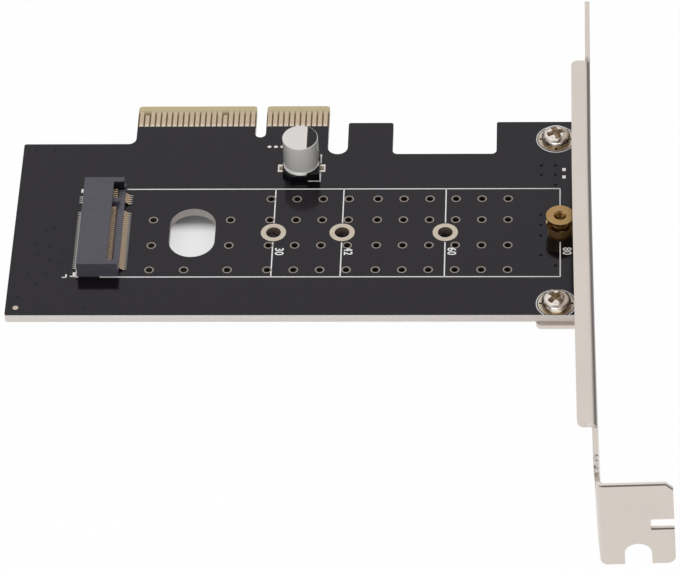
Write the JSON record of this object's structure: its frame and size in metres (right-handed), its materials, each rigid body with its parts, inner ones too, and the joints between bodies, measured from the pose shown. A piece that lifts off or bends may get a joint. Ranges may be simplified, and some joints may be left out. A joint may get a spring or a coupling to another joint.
{
  "type": "expansion card drive adapter",
  "caption": "Flat circuit board with an edge connector, a low drive socket, a standoff and a folded full-height slot bracket, which carries an M.2 drive in an expansion slot.",
  "frame": {"origin": "middle of the edge connector's key notch, on the contact edge, in the plane of the board's component side", "axes": "+X along the contact edge towards the bracket, +Y out of the contact edge into the slot, +Z out of the component side"},
  "size_m": [0.1124, 0.1219, 0.0184],
  "materials": {
    "solder_mask": "semi-gloss black solder mask over glass-epoxy laminate",
    "gold_contact": "gold plating over copper",
    "tinned_copper": "tinned and gold-flashed copper, satin",
    "socket_plastic": "moulded blue-grey black, satin",
    "contact_alloy": "gold-flashed copper alloy",
    "plated_steel": "nickel-plated sheet, smooth satin",
    "screw_nickel": "bright nickel plating",
    "standoff_brass": "bare turned brass, bright",
    "can_aluminium": "satin drawn aluminium",
    "base_plastic": "moulded black, glossy",
    "solder_tin": "solder-coated copper, bright"
  },
  "bodies": {
    "root": {"circuit_board": "solder_mask", "edge_contacts_component_side": "gold_contact", "edge_contacts_solder_side": "gold_contact", "plated_vias": "tinned_copper", "position_ring_30mm": "gold_contact", "position_ring_42mm": "gold_contact", "position_ring_60mm": "gold_contact", "position_ring_80mm": "gold_contact", "screw_land_upper": "gold_contact", "screw_land_lower": "gold_contact", "bare_pads": "solder_tin", "fiducial_mark": "solder_tin", "socket_housing": "socket_plastic", "socket_upper_contacts": "contact_alloy", "socket_lower_contacts": "contact_alloy", "socket_hold_downs": "solder_tin", "capacitor_can": "can_aluminium", "capacitor_base": "base_plastic", "capacitor_terminals": "solder_tin", "capacitor_pads": "solder_tin", "bracket": "plated_steel", "bracket_screw_upper": "screw_nickel", "bracket_screw_lower": "screw_nickel", "standoff": "standoff_brass", "standoff_nut": "standoff_brass"}
  },
  "joints": []
}
